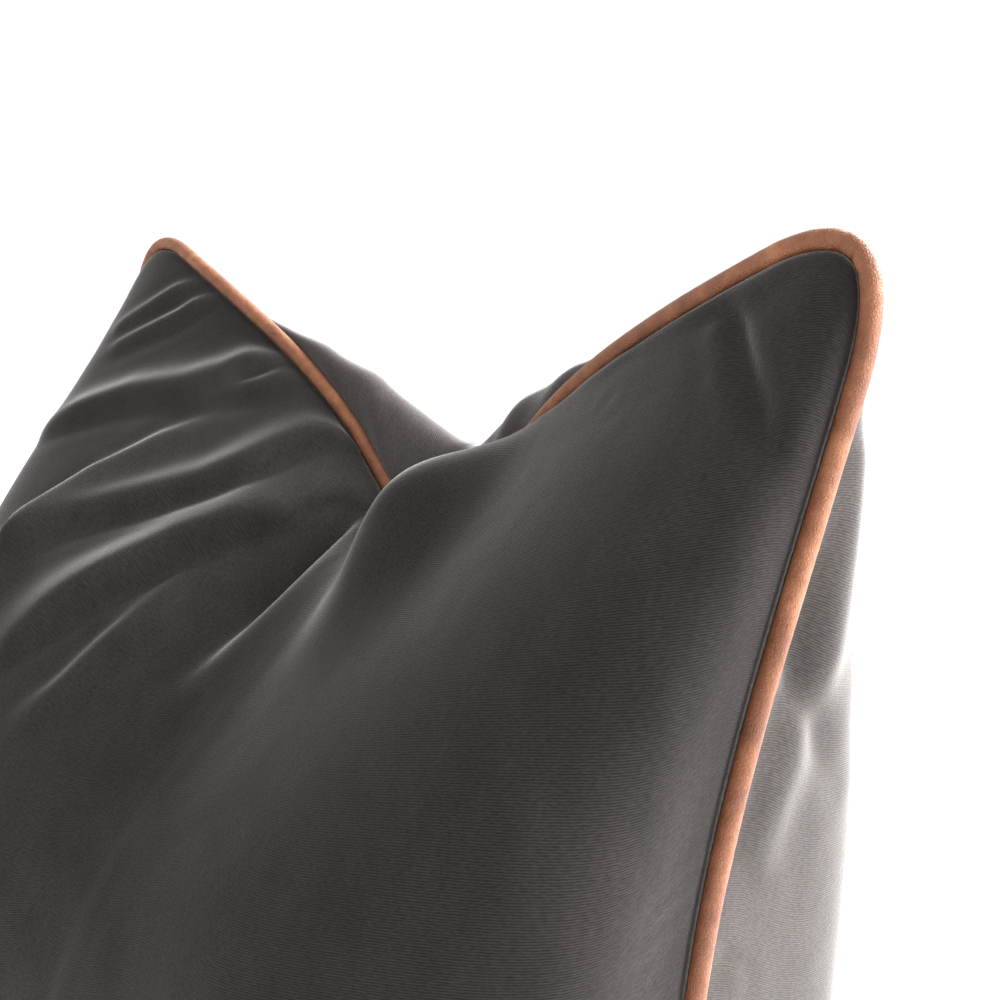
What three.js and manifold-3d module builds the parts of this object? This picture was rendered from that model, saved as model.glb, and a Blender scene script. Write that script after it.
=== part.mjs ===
// A square throw pillow standing on its bottom edge, its top edge pressed down into two ears.
// The cover is two velvet panels sewn together over leather piping, with a concealed zip in the
// bottom seam behind the piping. Inside is a filled insert in its own cotton casing.
// Millimetres, +Z up, the front faces -Y. The origin is the middle of the box at floor level.

import * as THREE from 'three';
import { mergeVertices } from 'three/addons/utils/BufferGeometryUtils.js';
import Manifold from 'manifold-3d';

// Outline of the seam that runs round the cover
const EAR_HEIGHT = 488; // floor to the sharp corner of an ear
const EAR_HALF = 221; // half the distance between the ears
const BASE_HALF = 236; // half the width at the bottom corners
const SIDE_PULL = 32; // how far each side seam pulls in at mid height
const CHOP_DEPTH = 144; // how far the middle of the top edge is pressed down
const CHOP_ROUND = 0.11; // roundness of the bottom of the chop, as a share of EAR_HALF
const CHOP_SLOPE = { share: 0.72, power: 1.4 }; // the wide part of the chop, down from the ears
const CHOP_CLEFT = { share: 0.28, power: 5 }; // the narrow cleft in its middle
const LEAN = 62; // how far the ears lean back
const LEAN_POWER = 1.65; // above 1 the lean grows towards the ears
const CORNER = 0.13; // share of each half side that its rounded corner takes

// Loft of the filled cover
const LOFT = 122; // greatest distance from the seam to the crown of either half
const FULLNESS = 0.42; // lower is fuller, with steeper walls beside the seam
const TOP_FULLNESS = 0.6; // the same towards the top, which is slacker
const SAG = 0.08; // share of loft that gravity moves from the top to the bottom
const LEAST_LOFT = 8; // the cover is never flatter than this inside its seam
const CREASE = 0.22; // share of loft lost under the chop
const CREASE_HALF = 0.3; // half width of that crease, as a share of the half width
const CREASE_START = -0.3; // row where it starts, from -1 at the base to 1 at the top
const CHOP_REACH = 2.5; // higher keeps the pressed rows closer to the top
const SINK = 20; // how far the weight presses the bottom edge down onto its resting face
const SINK_POWER = 6; // higher keeps that to the lowest rows

// Layers
const PIPING_R = 3; // leather piping, outside
const PIPING_BORE = 2.1; // room for the cord inside the leather
const CORD_R = 1.5;
const FLANGE_OUT = 0.8; // the two leather layers of the sewn flange, half thickness together
const FLANGE_IN = 0.2; // half the slit between them
const SEAM_ALLOWANCE = 9; // piping centre to the cut edge inside the cover
const VELVET = 1.6; // velvet with its backing
const GAP = 0.5; // sewn or resting layers keep this much apart
const CASING = 1; // cotton casing of the insert
const CASING_GAP = 1.4; // ease between the cover and the insert
const FILL_GAP = 2; // ease between the casing and its fill
const CASING_SHARE = 0.975; // the insert lofts this share of the cover's loft
const FILL_SHARE = 0.93; // the same for the fill
const CASING_EASE = 16; // how far the casing stops short of each rounded corner of the cover
const FILL_EASE = 22; // the same for the fill
const CORNER_REACH = 0.3; // share of a side over which that ease fades out
const ZIP_ROOM = 14.5; // the insert's base rises this far over the seam and the zip
const CASING_RIM = SEAM_ALLOWANCE + 3.5; // piping centre to the seam of the casing
const CASING_PART = 0.9; // half the space between the casing halves there
const FILL_RIM = 1.5; // the fill's own edge stops this far short of its walls
const PANEL_EDGE = PIPING_R + 0.8; // piping centre to the folded edge of either panel
const BASE_Z = PIPING_R + 0.4; // height of the piping's centre along the bottom

// Concealed zip along the bottom seam
const ZIP_HALF = 196; // half the length of the coils
const ZIP_Y = 6.45; // middle of the zip, behind the piping
const ZIP_Z = 6.8; // middle of the coils
const ZIP_WIDTH = 10.6; // how far the back panel steps back to make room for it
const ZIP_FADE = [0.91, 0.97]; // shares of the half base over which that step fades out
const ZIP_FLOOR = [18.5, 30]; // distances from the zip over which the insert's base comes down
const TAPE = 0.6;
const TAPE_SLOT = 0.45; // room either side of a tape where it leaves the slider
const TAPE_OVERHANG = 6; // the tapes run on past the coils
const TAPE_REACH = 5.1; // zip middle to the outside of either tape
const COIL_IN = 0.55; // coil limits either side of the zip middle
const COIL_OUT = 1.75;
const COIL_HALF = 1.2; // half the height of a coil
const SLIDER_LENGTH = 9;
const SLIDER_WALL = 0.8;
const CLEARANCE = 0.3;
const STOP_LENGTH = 3;
const SLIDER_X = ZIP_HALF - SLIDER_LENGTH / 2 - 0.1; // closed, against the top stops
const PIVOT_Z = 3.3; // height of the pull's cross pin
const PULL_LENGTH = 18;
const PULL_HALF = 2; // half its width beside the pin
const PULL_FLARE = 0.6; // how much wider its rounded end is, each side
const BAIL = 0.7; // thickness of the bail's bar and posts
const BAIL_HALF = 0.6; // half the bail's width
const BAIL_INSET = 1; // the posts stand this far in from the slider's ends
const PIN_R = 0.55;
const WELD = 0.2; // how far the bail's posts run up into the slider

// Grid of stations: columns bunch at the ears and under the chop, rows at the top and the base
const COLUMNS = 20;
const ROWS = 18;
const ROW_BUNCHING = 2.5;

const smooth = (low, high, v) => THREE.MathUtils.smoothstep(v, low, high);

const columns = Array.from({ length: COLUMNS + 1 }, (_, i) => {
  const v = (2 * i) / COLUMNS - 1;
  return (Math.sign(v) * (1 - Math.cos(Math.PI * Math.abs(v)))) / 2;
});

const rows = Array.from({ length: ROWS + 1 }, (_, j) => {
  const v = (2 * j) / ROWS - 1;
  return Math.sign(v) * (1 - (1 - Math.abs(v)) ** ROW_BUNCHING);
});

// How far the top edge is pressed down at a share a of the half width
function chop(a) {
  const t = Math.max(1 - Math.hypot(a, CHOP_ROUND), 0);
  const parts = [CHOP_SLOPE, CHOP_CLEFT].map(({ share, power }) => share * t ** power);
  return CHOP_DEPTH * (parts[0] + parts[1]);
}

const leanAt = (z) => LEAN * (Math.max(z, 0) / EAR_HEIGHT) ** LEAN_POWER;

// The seam before its corners are rounded. Side 0 is the bottom, 1 the right side, 2 the top and
// 3 the left side; s runs from -1 to 1 along each, anticlockwise as seen from the front.
function sharpSeam(side, s) {
  if (side === 0) return new THREE.Vector3(s * BASE_HALF, 0, BASE_Z);
  if (side === 2) {
    const z = EAR_HEIGHT - chop(s);
    return new THREE.Vector3(-s * EAR_HALF, leanAt(z), z);
  }
  const sign = side === 1 ? 1 : -1;
  const up = (1 + sign * s) / 2;
  const z = THREE.MathUtils.lerp(BASE_Z, EAR_HEIGHT, up);
  const half = THREE.MathUtils.lerp(BASE_HALF, EAR_HALF, up) - SIDE_PULL * 4 * up * (1 - up);
  return new THREE.Vector3(sign * half, leanAt(z), z);
}

// The seam with rounded corners, at u from 0 to 4 round the loop
function seamPoint(u) {
  const loop = THREE.MathUtils.euclideanModulo(u, 4);
  const side = Math.floor(loop);
  const s = 2 * (loop - side) - 1;
  const past = Math.abs(s) - (1 - CORNER);
  if (past <= 0) return sharpSeam(side, s);
  const end = Math.sign(s);
  const neighbour = (side + end + 4) % 4;
  const t = past / CORNER / 2;
  const curve = new THREE.QuadraticBezierCurve3(
    sharpSeam(side, end * (1 - CORNER)),
    sharpSeam(side, end),
    sharpSeam(neighbour, -end * (1 - CORNER)),
  );
  return curve.getPoint(t);
}

// A station has the seam point, the way into the pillow and the way to the front
function station(u) {
  const step = 1e-4;
  const tangent = seamPoint(u + step).sub(seamPoint(u - step)).normalize();
  const inward = new THREE.Vector3().crossVectors(tangent, new THREE.Vector3(0, 1, 0)).normalize();
  const front = new THREE.Vector3().crossVectors(tangent, inward);
  const corner = 1 - smooth(0, CORNER_REACH, Math.abs(u - Math.round(u)));
  return { point: seamPoint(u), inward, front, side: Math.floor(u), corner };
}

const stations = [
  ...columns.slice(0, -1).map((a) => station((a + 1) / 2)),
  ...rows.slice(0, -1).map((b) => station(1 + (b + 1) / 2)),
  ...columns.slice(0, -1).map((a) => station(2 + (a + 1) / 2)),
  ...rows.slice(0, -1).map((b) => station(3 + (b + 1) / 2)),
];

// A point beside the seam: depth into the pillow, and width towards the front
function beside(at, depth, width) {
  return at.point.clone().addScaledVector(at.inward, depth).addScaledVector(at.front, width);
}

// The back panel steps back along the bottom seam, where the zip lies
function zipStep(at) {
  if (at.side !== 0) return 0;
  return ZIP_WIDTH * (1 - smooth(...ZIP_FADE, Math.abs(at.point.x) / BASE_HALF));
}

const ring = (depth, width, half = 'front') =>
  stations.map((at) => {
    const sign = half === 'front' ? 1 : -1;
    const step = half === 'front' ? 0 : zipStep(at);
    return beside(at, depth, sign * (width + step));
  });

// A ring of the insert draws back at the corners. Its share says how much of the zip's step the
// ring takes: none at the front, all at the back, and half where the two casings meet.
const insertRing = (depth, width, share, cornerEase) =>
  stations.map((at) => {
    const point = beside(at, depth, width - share * zipStep(at));
    const ease = (at.corner * cornerEase) / Math.SQRT2;
    point.x -= Math.sign(point.x) * ease;
    point.z -= Math.sign(point.z - EAR_HEIGHT / 2) * ease;
    return point;
  });

// Index of a ring's vertex at column i and row j of the grid's edge
function ringIndex(i, j) {
  if (j === 0) return i;
  if (i === COLUMNS) return COLUMNS + j;
  if (j === ROWS) return COLUMNS + ROWS + (COLUMNS - i);
  return (2 * COLUMNS + 2 * ROWS - j) % stations.length;
}

const isEdge = (i, j) => i === 0 || j === 0 || i === COLUMNS || j === ROWS;

// Point inside the four-sided patch that a ring bounds, at column i and row j
function patch(edge, i, j) {
  const s = (columns[i] + 1) / 2;
  const t = (rows[j] + 1) / 2;
  const at = (k, l) => edge[ringIndex(k, l)];
  const mixed = new THREE.Vector3()
    .addScaledVector(at(i, 0), 1 - t)
    .addScaledVector(at(i, ROWS), t)
    .addScaledVector(at(0, j), 1 - s)
    .addScaledVector(at(COLUMNS, j), s)
    .addScaledVector(at(0, 0), -(1 - s) * (1 - t))
    .addScaledVector(at(COLUMNS, 0), -s * (1 - t))
    .addScaledVector(at(0, ROWS), -(1 - s) * t)
    .addScaledVector(at(COLUMNS, ROWS), -s * t);
  mixed.z += chop(columns[i]) * (t - t ** CHOP_REACH);
  return mixed;
}

// Loft of either half above the seam at column i and row j
function loft(i, j) {
  const a = columns[i];
  const b = rows[j];
  const dome = (1 - a * a) ** FULLNESS * (1 - b * b) ** (b > 0 ? TOP_FULLNESS : FULLNESS);
  const crease = CREASE * Math.exp(-((a / CREASE_HALF) ** 2)) * smooth(CREASE_START, 1, b);
  return LOFT * dome * (1 - crease) * (1 - SAG * b);
}

// One skin of a half: its edge lies on the rim, and the rest is the patch bounded by the wall
// ring, raised by a share of the loft less an offset and flattened on the floor height
function skin(half, { rim, wall, offset, floor, share = 1 }) {
  const forward = half === 'front' ? -1 : 1;
  return Array.from({ length: ROWS + 1 }, (_, j) =>
    Array.from({ length: COLUMNS + 1 }, (_, i) => {
      if (isEdge(i, j)) return rim[ringIndex(i, j)];
      const point = patch(wall, i, j);
      point.y += forward * (Math.max(share * loft(i, j), LEAST_LOFT) - offset);
      const pressed = point.z - SINK * ((1 - rows[j]) / 2) ** SINK_POWER;
      point.z = Math.max(pressed, floor(point.y));
      return point;
    }),
  );
}

// Collects triangles that share corners, and turns the closed result outwards
class Solid {
  constructor() {
    this.points = [];
    this.index = new Map();
    this.triangles = [];
  }

  vertex(point) {
    const key = point.toArray().map((v) => v.toFixed(5)).join();
    if (!this.index.has(key)) this.index.set(key, this.points.push(point) - 1);
    return this.index.get(key);
  }

  triangle(a, b, c) {
    const corners = [a, b, c].map((point) => this.vertex(point));
    if (new Set(corners).size === 3) this.triangles.push(corners);
  }

  quad(a, b, c, d) {
    this.triangle(a, b, c);
    this.triangle(a, c, d);
  }

  // Both grids run over the same columns and rows; a flipped grid faces the other way
  grid(points, flip) {
    for (let j = 0; j < ROWS; j += 1) {
      for (let i = 0; i < COLUMNS; i += 1) {
        const [a, b, c, d] = [points[j][i], points[j][i + 1], points[j + 1][i + 1], points[j + 1][i]];
        if (flip) this.quad(a, d, c, b);
        else this.quad(a, b, c, d);
      }
    }
  }

  // Joins a loop of rings, each to the next
  bands(rings, flip) {
    rings.slice(1).forEach((next, k) => {
      const last = rings[k];
      last.forEach((_, n) => {
        const m = (n + 1) % last.length;
        if (flip) this.quad(last[n], next[n], next[m], last[m]);
        else this.quad(last[n], last[m], next[m], next[n]);
      });
    });
  }

  geometry() {
    const triple = new THREE.Vector3();
    const volume = this.triangles.reduce((sum, [a, b, c]) => {
      triple.crossVectors(this.points[b], this.points[c]);
      return sum + this.points[a].dot(triple);
    }, 0);
    const order = volume < 0 ? ([a, b, c]) => [a, c, b] : (corners) => corners;
    const geometry = new THREE.BufferGeometry();
    const positions = this.points.flatMap((point) => point.toArray());
    geometry.setAttribute('position', new THREE.Float32BufferAttribute(positions, 3));
    geometry.setIndex(this.triangles.flatMap(order));
    geometry.computeVertexNormals();
    return geometry;
  }
}

// A velvet panel: the filled skin, and the seam allowance turned in beside the piping flange
function panel(half) {
  const flangeSide = FLANGE_OUT + GAP;
  const innerSide = flangeSide + VELVET;
  const outerRim = ring(PANEL_EDGE, innerSide, half);
  const innerRim = ring(PANEL_EDGE + VELVET, innerSide, half);
  const solid = new Solid();
  const outer = { rim: outerRim, wall: outerRim, offset: 0, floor: () => 0 };
  const inner = { rim: innerRim, wall: innerRim, offset: VELVET, floor: () => VELVET };
  solid.grid(skin(half, outer), false);
  solid.grid(skin(half, inner), true);
  const fold = [
    outerRim,
    ring(PANEL_EDGE, flangeSide, half),
    ring(SEAM_ALLOWANCE, flangeSide, half),
    ring(SEAM_ALLOWANCE, innerSide, half),
    innerRim,
  ];
  solid.bands(fold, true);
  return solid.geometry();
}

// The insert clears the zip, so its floor rises over it
const insertFloor = (height) => (y) =>
  height + ZIP_ROOM * (1 - smooth(...ZIP_FLOOR, Math.abs(y - ZIP_WIDTH / 2)));

// One skin of the insert. Its wall lies at a depth beside the seam, its crown an offset inside the
// cover's outer face, and its base on a floor; the ease draws it back at the corners.
function insertSkin(half, rim, { depth, offset, floor, ease, share }) {
  const width = half === 'front' ? GAP : -GAP;
  const wall = insertRing(depth, width, half === 'front' ? 0 : 1, ease);
  return skin(half, { rim, wall, offset, floor: insertFloor(floor), share });
}

// The two casing halves meet in a seam inside the cover's seam
function casing(half) {
  const sign = half === 'front' ? 1 : -1;
  const layer = (inset) => ({
    depth: PANEL_EDGE + VELVET + CASING_GAP + inset,
    offset: VELVET + CASING_GAP + inset,
    floor: VELVET + CASING_GAP + inset,
    ease: CASING_EASE,
    share: CASING_SHARE,
  });
  const rims = [0, CASING].map((d) => insertRing(CASING_RIM + d, sign * CASING_PART, 0.5, CASING_EASE));
  const solid = new Solid();
  solid.grid(insertSkin(half, rims[0], layer(0)), false);
  solid.grid(insertSkin(half, rims[1], layer(CASING)), true);
  solid.bands(rims, true);
  return solid.geometry();
}

function fill() {
  const offset = VELVET + CASING_GAP + CASING + FILL_GAP;
  const depth = CASING_RIM + CASING + FILL_GAP;
  const layer = { depth, offset, floor: offset + 4 * FILL_GAP, ease: FILL_EASE, share: FILL_SHARE };
  const rim = insertRing(depth + FILL_RIM, 0, 0.5, FILL_EASE);
  const solid = new Solid();
  solid.grid(insertSkin('front', rim, layer), false);
  solid.grid(insertSkin('back', rim, layer), true);
  return solid.geometry();
}

// A closed section carried round the seam loop, its points given as depth and width
function sweep(section) {
  const rings = section.map(([depth, width]) => stations.map((at) => beside(at, depth, width)));
  const solid = new Solid();
  solid.bands([...rings, rings[0]], false);
  return solid.geometry();
}

// Points on an arc round the seam; angle 0 is straight into the pillow
function arc(radius, from, to, count) {
  return Array.from({ length: count }, (_, k) => {
    const angle = THREE.MathUtils.lerp(from, to, k / (count - 1));
    return [radius * Math.cos(angle), radius * Math.sin(angle)];
  });
}

// Leather wrapped round the cord, its two layers sewn together as a flange
function pipingSection() {
  const outside = Math.asin(FLANGE_OUT / PIPING_R);
  const inside = Math.asin(FLANGE_IN / PIPING_BORE);
  const turn = 2 * Math.PI;
  return [
    [SEAM_ALLOWANCE, FLANGE_OUT],
    ...arc(PIPING_R, outside, turn - outside, 9),
    [SEAM_ALLOWANCE, -FLANGE_OUT],
    [SEAM_ALLOWANCE, -FLANGE_IN],
    ...arc(PIPING_BORE, turn - inside, inside, 7),
    [SEAM_ALLOWANCE, FLANGE_IN],
  ];
}

const cordSection = () => arc(CORD_R, 0, 2 * Math.PI, 9).slice(0, -1);

// A bar along X from an outline in Y and Z, each measured from the middle of the zip
function zipBar(outline, fromX, toX) {
  const shape = new THREE.Shape(outline.map(([y, z]) => new THREE.Vector2(y, z)));
  const bar = new THREE.ExtrudeGeometry(shape, { depth: toX - fromX, bevelEnabled: false });
  const axes = new THREE.Matrix4().makeBasis(
    new THREE.Vector3(0, 1, 0),
    new THREE.Vector3(0, 0, 1),
    new THREE.Vector3(1, 0, 0),
  );
  return bar.applyMatrix4(axes).translate(fromX, ZIP_Y, ZIP_Z);
}

const box = (y0, y1, z0, z1) => [[y0, z0], [y1, z0], [y1, z1], [y0, z1]];

// A tape is an L: one leg carries the coil, the other is sewn beside the seam allowance
function tape(sign) {
  const leg = TAPE / 2;
  const top = BASE_Z + SEAM_ALLOWANCE - ZIP_Z;
  const outline = [
    [COIL_OUT + CLEARANCE, -leg],
    [TAPE_REACH, -leg],
    [TAPE_REACH, top],
    [TAPE_REACH - TAPE, top],
    [TAPE_REACH - TAPE, leg],
    [COIL_OUT + CLEARANCE, leg],
  ];
  const overhang = ZIP_HALF + TAPE_OVERHANG;
  return zipBar(outline.map(([y, z]) => [sign * y, z]), -overhang, overhang);
}

// Half of the chain, with rounded long edges
function coilOutline(sign) {
  const bevel = 0.35;
  const outline = [
    [COIL_IN, -COIL_HALF + bevel],
    [COIL_IN + bevel, -COIL_HALF],
    [COIL_OUT - bevel, -COIL_HALF],
    [COIL_OUT, -COIL_HALF + bevel],
    [COIL_OUT, COIL_HALF - bevel],
    [COIL_OUT - bevel, COIL_HALF],
    [COIL_IN + bevel, COIL_HALF],
    [COIL_IN, COIL_HALF - bevel],
  ];
  return outline.map(([y, z]) => [sign * y, z]);
}

const coil = (sign) => zipBar(coilOutline(sign), -ZIP_HALF, ZIP_HALF);

const topStop = (sign) =>
  zipBar(coilOutline(sign), ZIP_HALF + CLEARANCE, ZIP_HALF + CLEARANCE + STOP_LENGTH);

function bottomStop() {
  const from = -ZIP_HALF - CLEARANCE - STOP_LENGTH;
  return zipBar(box(-COIL_OUT, COIL_OUT, -COIL_HALF, COIL_HALF), from, -ZIP_HALF - CLEARANCE);
}

// The slider holds a coil in each channel, round a thin web, and the tapes leave by its side slots.
// Under it a bail holds the pull.
function sliderSection(sign) {
  const channel = COIL_OUT + CLEARANCE;
  const side = channel + SLIDER_WALL;
  const plate = COIL_HALF + CLEARANCE;
  const slot = TAPE / 2 + TAPE_SLOT;
  const web = COIL_IN - CLEARANCE;
  const quarter = [[side, plate + SLIDER_WALL], [side, slot], [channel, slot], [channel, plate], [web, plate]];
  const half = [...quarter, ...quarter.map(([y, z]) => [y, -z]).reverse()];
  return half.map(([y, z]) => [sign * y, z]);
}

function slider() {
  const outline = [...sliderSection(1), ...sliderSection(-1).reverse()];
  const body = zipBar(outline, SLIDER_X - SLIDER_LENGTH / 2, SLIDER_X + SLIDER_LENGTH / 2);
  const top = WELD - COIL_HALF - CLEARANCE - SLIDER_WALL;
  const barTop = PIVOT_Z - PIN_R - CLEARANCE - ZIP_Z;
  const barLow = barTop - BAIL;
  const post = SLIDER_LENGTH / 2 - BAIL_INSET;
  const bail = new THREE.Shape([
    [-post, top],
    [-post, barLow],
    [post, barLow],
    [post, top],
    [post - BAIL, top],
    [post - BAIL, barTop],
    [BAIL - post, barTop],
    [BAIL - post, top],
  ].map(([x, z]) => new THREE.Vector2(x, z)));
  const arch = new THREE.ExtrudeGeometry(bail, { depth: 2 * BAIL_HALF, bevelEnabled: false });
  arch.rotateX(Math.PI / 2).translate(SLIDER_X, ZIP_Y + BAIL_HALF, ZIP_Z);
  return joined(body, arch);
}

// The pull turns on a cross pin held by the bail: a tab with a slot, and the pin across the slot
function pull() {
  const half = PULL_HALF;
  const end = half + PULL_FLARE;
  const slotHalf = BAIL_HALF + CLEARANCE;
  const slotLength = SLIDER_LENGTH / 2 + PIN_R;
  const slotStart = -PIN_R * 0.6; // the pin is a little thicker than the tab's rim beside it
  const shape = new THREE.Shape();
  shape.moveTo(PIN_R, -half);
  shape.lineTo(PIN_R, half);
  shape.lineTo(-slotLength, half);
  shape.lineTo(end - PULL_LENGTH, end);
  shape.absarc(end - PULL_LENGTH, 0, end, Math.PI / 2, 1.5 * Math.PI, false);
  shape.lineTo(-slotLength, -half);
  shape.closePath();
  const slot = new THREE.Path();
  slot.moveTo(slotStart, -slotHalf);
  slot.lineTo(slotStart, slotHalf);
  slot.lineTo(-slotLength, slotHalf);
  slot.lineTo(-slotLength, -slotHalf);
  slot.closePath();
  shape.holes.push(slot);
  const thickness = 2 * PIN_R;
  const tab = new THREE.ExtrudeGeometry(shape, { depth: thickness, bevelEnabled: false, curveSegments: 8 });
  return tab.translate(SLIDER_X, ZIP_Y, PIVOT_Z - PIN_R);
}

const wasm = await Manifold();
wasm.setup();

// A closed geometry as a solid that can be joined to others
function manifold(geometry) {
  const bare = geometry.clone();
  bare.deleteAttribute('normal');
  bare.deleteAttribute('uv');
  const merged = mergeVertices(bare, 1e-4);
  const mesh = new wasm.Mesh({
    numProp: 3,
    vertProperties: new Float32Array(merged.attributes.position.array),
    triVerts: new Uint32Array(merged.index.array),
  });
  return new wasm.Manifold(mesh);
}

// Joins overlapping closed geometries into one
function joined(...geometries) {
  const mesh = wasm.Manifold.union(geometries.map(manifold)).getMesh();
  const geometry = new THREE.BufferGeometry();
  geometry.setAttribute('position', new THREE.Float32BufferAttribute(mesh.vertProperties, 3));
  geometry.setIndex([...mesh.triVerts]);
  geometry.computeVertexNormals();
  return geometry;
}

const velvet = () => new THREE.MeshStandardMaterial({ color: 0x4b4847, roughness: 0.95, metalness: 0 });
const leather = () => new THREE.MeshStandardMaterial({ color: 0xb06b45, roughness: 0.55, metalness: 0 });
const cotton = (color) => new THREE.MeshStandardMaterial({ color, roughness: 0.9, metalness: 0 });
const nylon = () => new THREE.MeshStandardMaterial({ color: 0x3a3838, roughness: 0.6, metalness: 0 });
const brass = () => new THREE.MeshStandardMaterial({ color: 0x8a7a5c, roughness: 0.4, metalness: 1 });

const pillow = new THREE.Group();

function add(name, geometry, material) {
  const mesh = new THREE.Mesh(geometry, material);
  mesh.name = name;
  pillow.add(mesh);
}

add('front_panel', panel('front'), velvet());
add('back_panel', panel('back'), velvet());
add('piping_leather', sweep(pipingSection()), leather());
add('piping_cord', sweep(cordSection()), cotton(0xe6e0d2));
add('zip_tape_front', tape(-1), cotton(0x444141));
add('zip_tape_back', tape(1), cotton(0x444141));
add('zip_coil_front', coil(-1), nylon());
add('zip_coil_back', coil(1), nylon());
add('zip_top_stop_front', topStop(-1), brass());
add('zip_top_stop_back', topStop(1), brass());
add('zip_bottom_stop', bottomStop(), brass());
add('zip_slider', slider(), brass());
add('zip_pull', pull(), brass());
add('insert_casing_front', casing('front'), cotton(0xf2efe8));
add('insert_casing_back', casing('back'), cotton(0xf2efe8));
add('insert_fill', fill(), cotton(0xfaf9f5));

// The origin moves to the middle of the box in X and Y; the pillow already stands on Z = 0
const bounds = new THREE.Box3().setFromObject(pillow, true);
const middle = bounds.getCenter(new THREE.Vector3());
pillow.children.forEach((mesh) => mesh.geometry.translate(-middle.x, -middle.y, 0));

export default pillow;
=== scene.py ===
import math

import bmesh
import bpy
import numpy as np
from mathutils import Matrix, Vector


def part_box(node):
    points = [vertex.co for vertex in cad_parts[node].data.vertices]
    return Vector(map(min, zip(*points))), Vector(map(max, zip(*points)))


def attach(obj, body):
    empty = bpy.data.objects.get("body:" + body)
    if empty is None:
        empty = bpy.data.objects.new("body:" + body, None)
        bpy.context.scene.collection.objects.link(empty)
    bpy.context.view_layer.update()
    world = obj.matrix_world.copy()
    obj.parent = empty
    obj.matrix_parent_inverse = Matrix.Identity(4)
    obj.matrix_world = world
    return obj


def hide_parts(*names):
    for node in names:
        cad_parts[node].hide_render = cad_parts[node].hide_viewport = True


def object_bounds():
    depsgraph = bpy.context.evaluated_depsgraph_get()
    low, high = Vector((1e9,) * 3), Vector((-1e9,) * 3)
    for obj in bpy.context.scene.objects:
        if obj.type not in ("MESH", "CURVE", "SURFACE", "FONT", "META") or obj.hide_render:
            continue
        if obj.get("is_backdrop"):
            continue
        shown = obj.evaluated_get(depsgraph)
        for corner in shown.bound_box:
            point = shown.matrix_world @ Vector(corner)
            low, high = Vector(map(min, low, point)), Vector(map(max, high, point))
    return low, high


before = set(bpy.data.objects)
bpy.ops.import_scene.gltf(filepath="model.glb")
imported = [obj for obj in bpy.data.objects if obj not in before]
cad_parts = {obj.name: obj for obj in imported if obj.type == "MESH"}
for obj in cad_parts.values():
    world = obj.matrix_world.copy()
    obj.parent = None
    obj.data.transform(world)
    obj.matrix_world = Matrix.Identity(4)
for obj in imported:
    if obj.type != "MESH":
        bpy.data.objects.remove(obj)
cad_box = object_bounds()
MM = 0.001

# Outline of the seam that runs round the cover. In each pair of values below, -1 is the front
# panel and 1 the back one.
EAR_HEIGHT = 488 * MM  # floor to the sharp corner of an ear
EAR_HALF = 216 * MM
BASE_HALF = 236 * MM
SIDE_PULL = 42 * MM  # how far each side seam pulls in between its corners
SIDE_SKEW = 0.7  # share of that pull that moves from the top half to the bottom half
SIDE_BOW = 24 * MM  # how far the upper half of a side seam bows forwards
CHOP_DEPTH = 173 * MM
CHOP_ROUND = 0.05
CHOP_SPREAD = {-1: 0.35, 1: 0.1}  # the pressed edge grows this much rounder down the panel
CHOP_SLOPE = 0.58  # share of the chop in its two long slopes; the rest is a narrow cleft
SLOPE_POWER = 1.14
CLEFT_POWER = 6
CHOP_BACK = 42 * MM  # how far the bottom of the chop is pushed back
LEAN = 60 * MM
LEAN_POWER = 1.4
CORNER = 0.175
BASE_Z = 3.4 * MM
ZIP_BEHIND_SEAM = 6.45 * MM
ZIP_WIDTH = 10.6 * MM
ZIP_FADE = (0.91, 0.97)  # shares of the half width over which the room for the zip ends
SEAM_Y = sum(corner.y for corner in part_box("zip_slider")) / 2 - ZIP_BEHIND_SEAM

# Filled panels, front (-1) and back (1)
LOFT = {-1: 125.9 * MM, 1: 114.5 * MM}
FULLNESS = {-1: 0.248, 1: 0.186}  # lower has steeper walls beside the side seams
TOP_FULLNESS = {-1: 1.351, 1: 1.643}
BASE_FULLNESS = 0.42
CREASE = {-1: 0.633, 1: 0.005}  # share of loft lost in the valley under the chop
CREASE_HALF = {-1: 0.052, 1: 0.1}
CREASE_PATH = {-1: (-0.16, 0.0), 1: (0, 0)}  # where the valley runs, low down and at the top
CREASE_BEND = (1, 0.85)  # heights between which it swings aside
CREASE_FADE = {-1: (0.5, 0.82), 1: (-0.3, 1)}  # heights over which it deepens
CHOP_REACH = {-1: (1.05, 22), 1: (15.9, 6.8)}  # slopes and cleft; higher stays closer to the top
SHOULDER = {-1: 19.6 * MM, 1: 0}  # the fill pushed up and forwards beside the chop
SHOULDER_AT = (0.2, 0.872)
SHOULDER_HALF = 0.16
SAG = {-1: 0.14, 1: -0.02}  # share by which a panel is fuller low down than high up
SKEW = {-1: 0.315, 1: 0}  # how much fuller the left side is than the right
SINK = 20 * MM
SINK_POWER = 6
PIPING_R = 3 * MM
PIPING_BORE = 2.1 * MM
CORD_R = 1.5 * MM
FLANGE = 0.85 * MM  # half the thickness of the piping's flange
SEAM_ALLOWANCE = 9 * MM
PANEL_EDGE = PIPING_R + 0.1 * MM
PANEL_SIDE = 2.4 * MM
VELVET = 1.5 * MM
CELLS = 192
FINER = 3  # the panels are shaped on a finer grid first
RIM_EASE = 0.05  # share of the panel over which folds grow from nothing at its rim
CELL = 2.75 * MM  # cloth between neighbouring grid points

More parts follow.
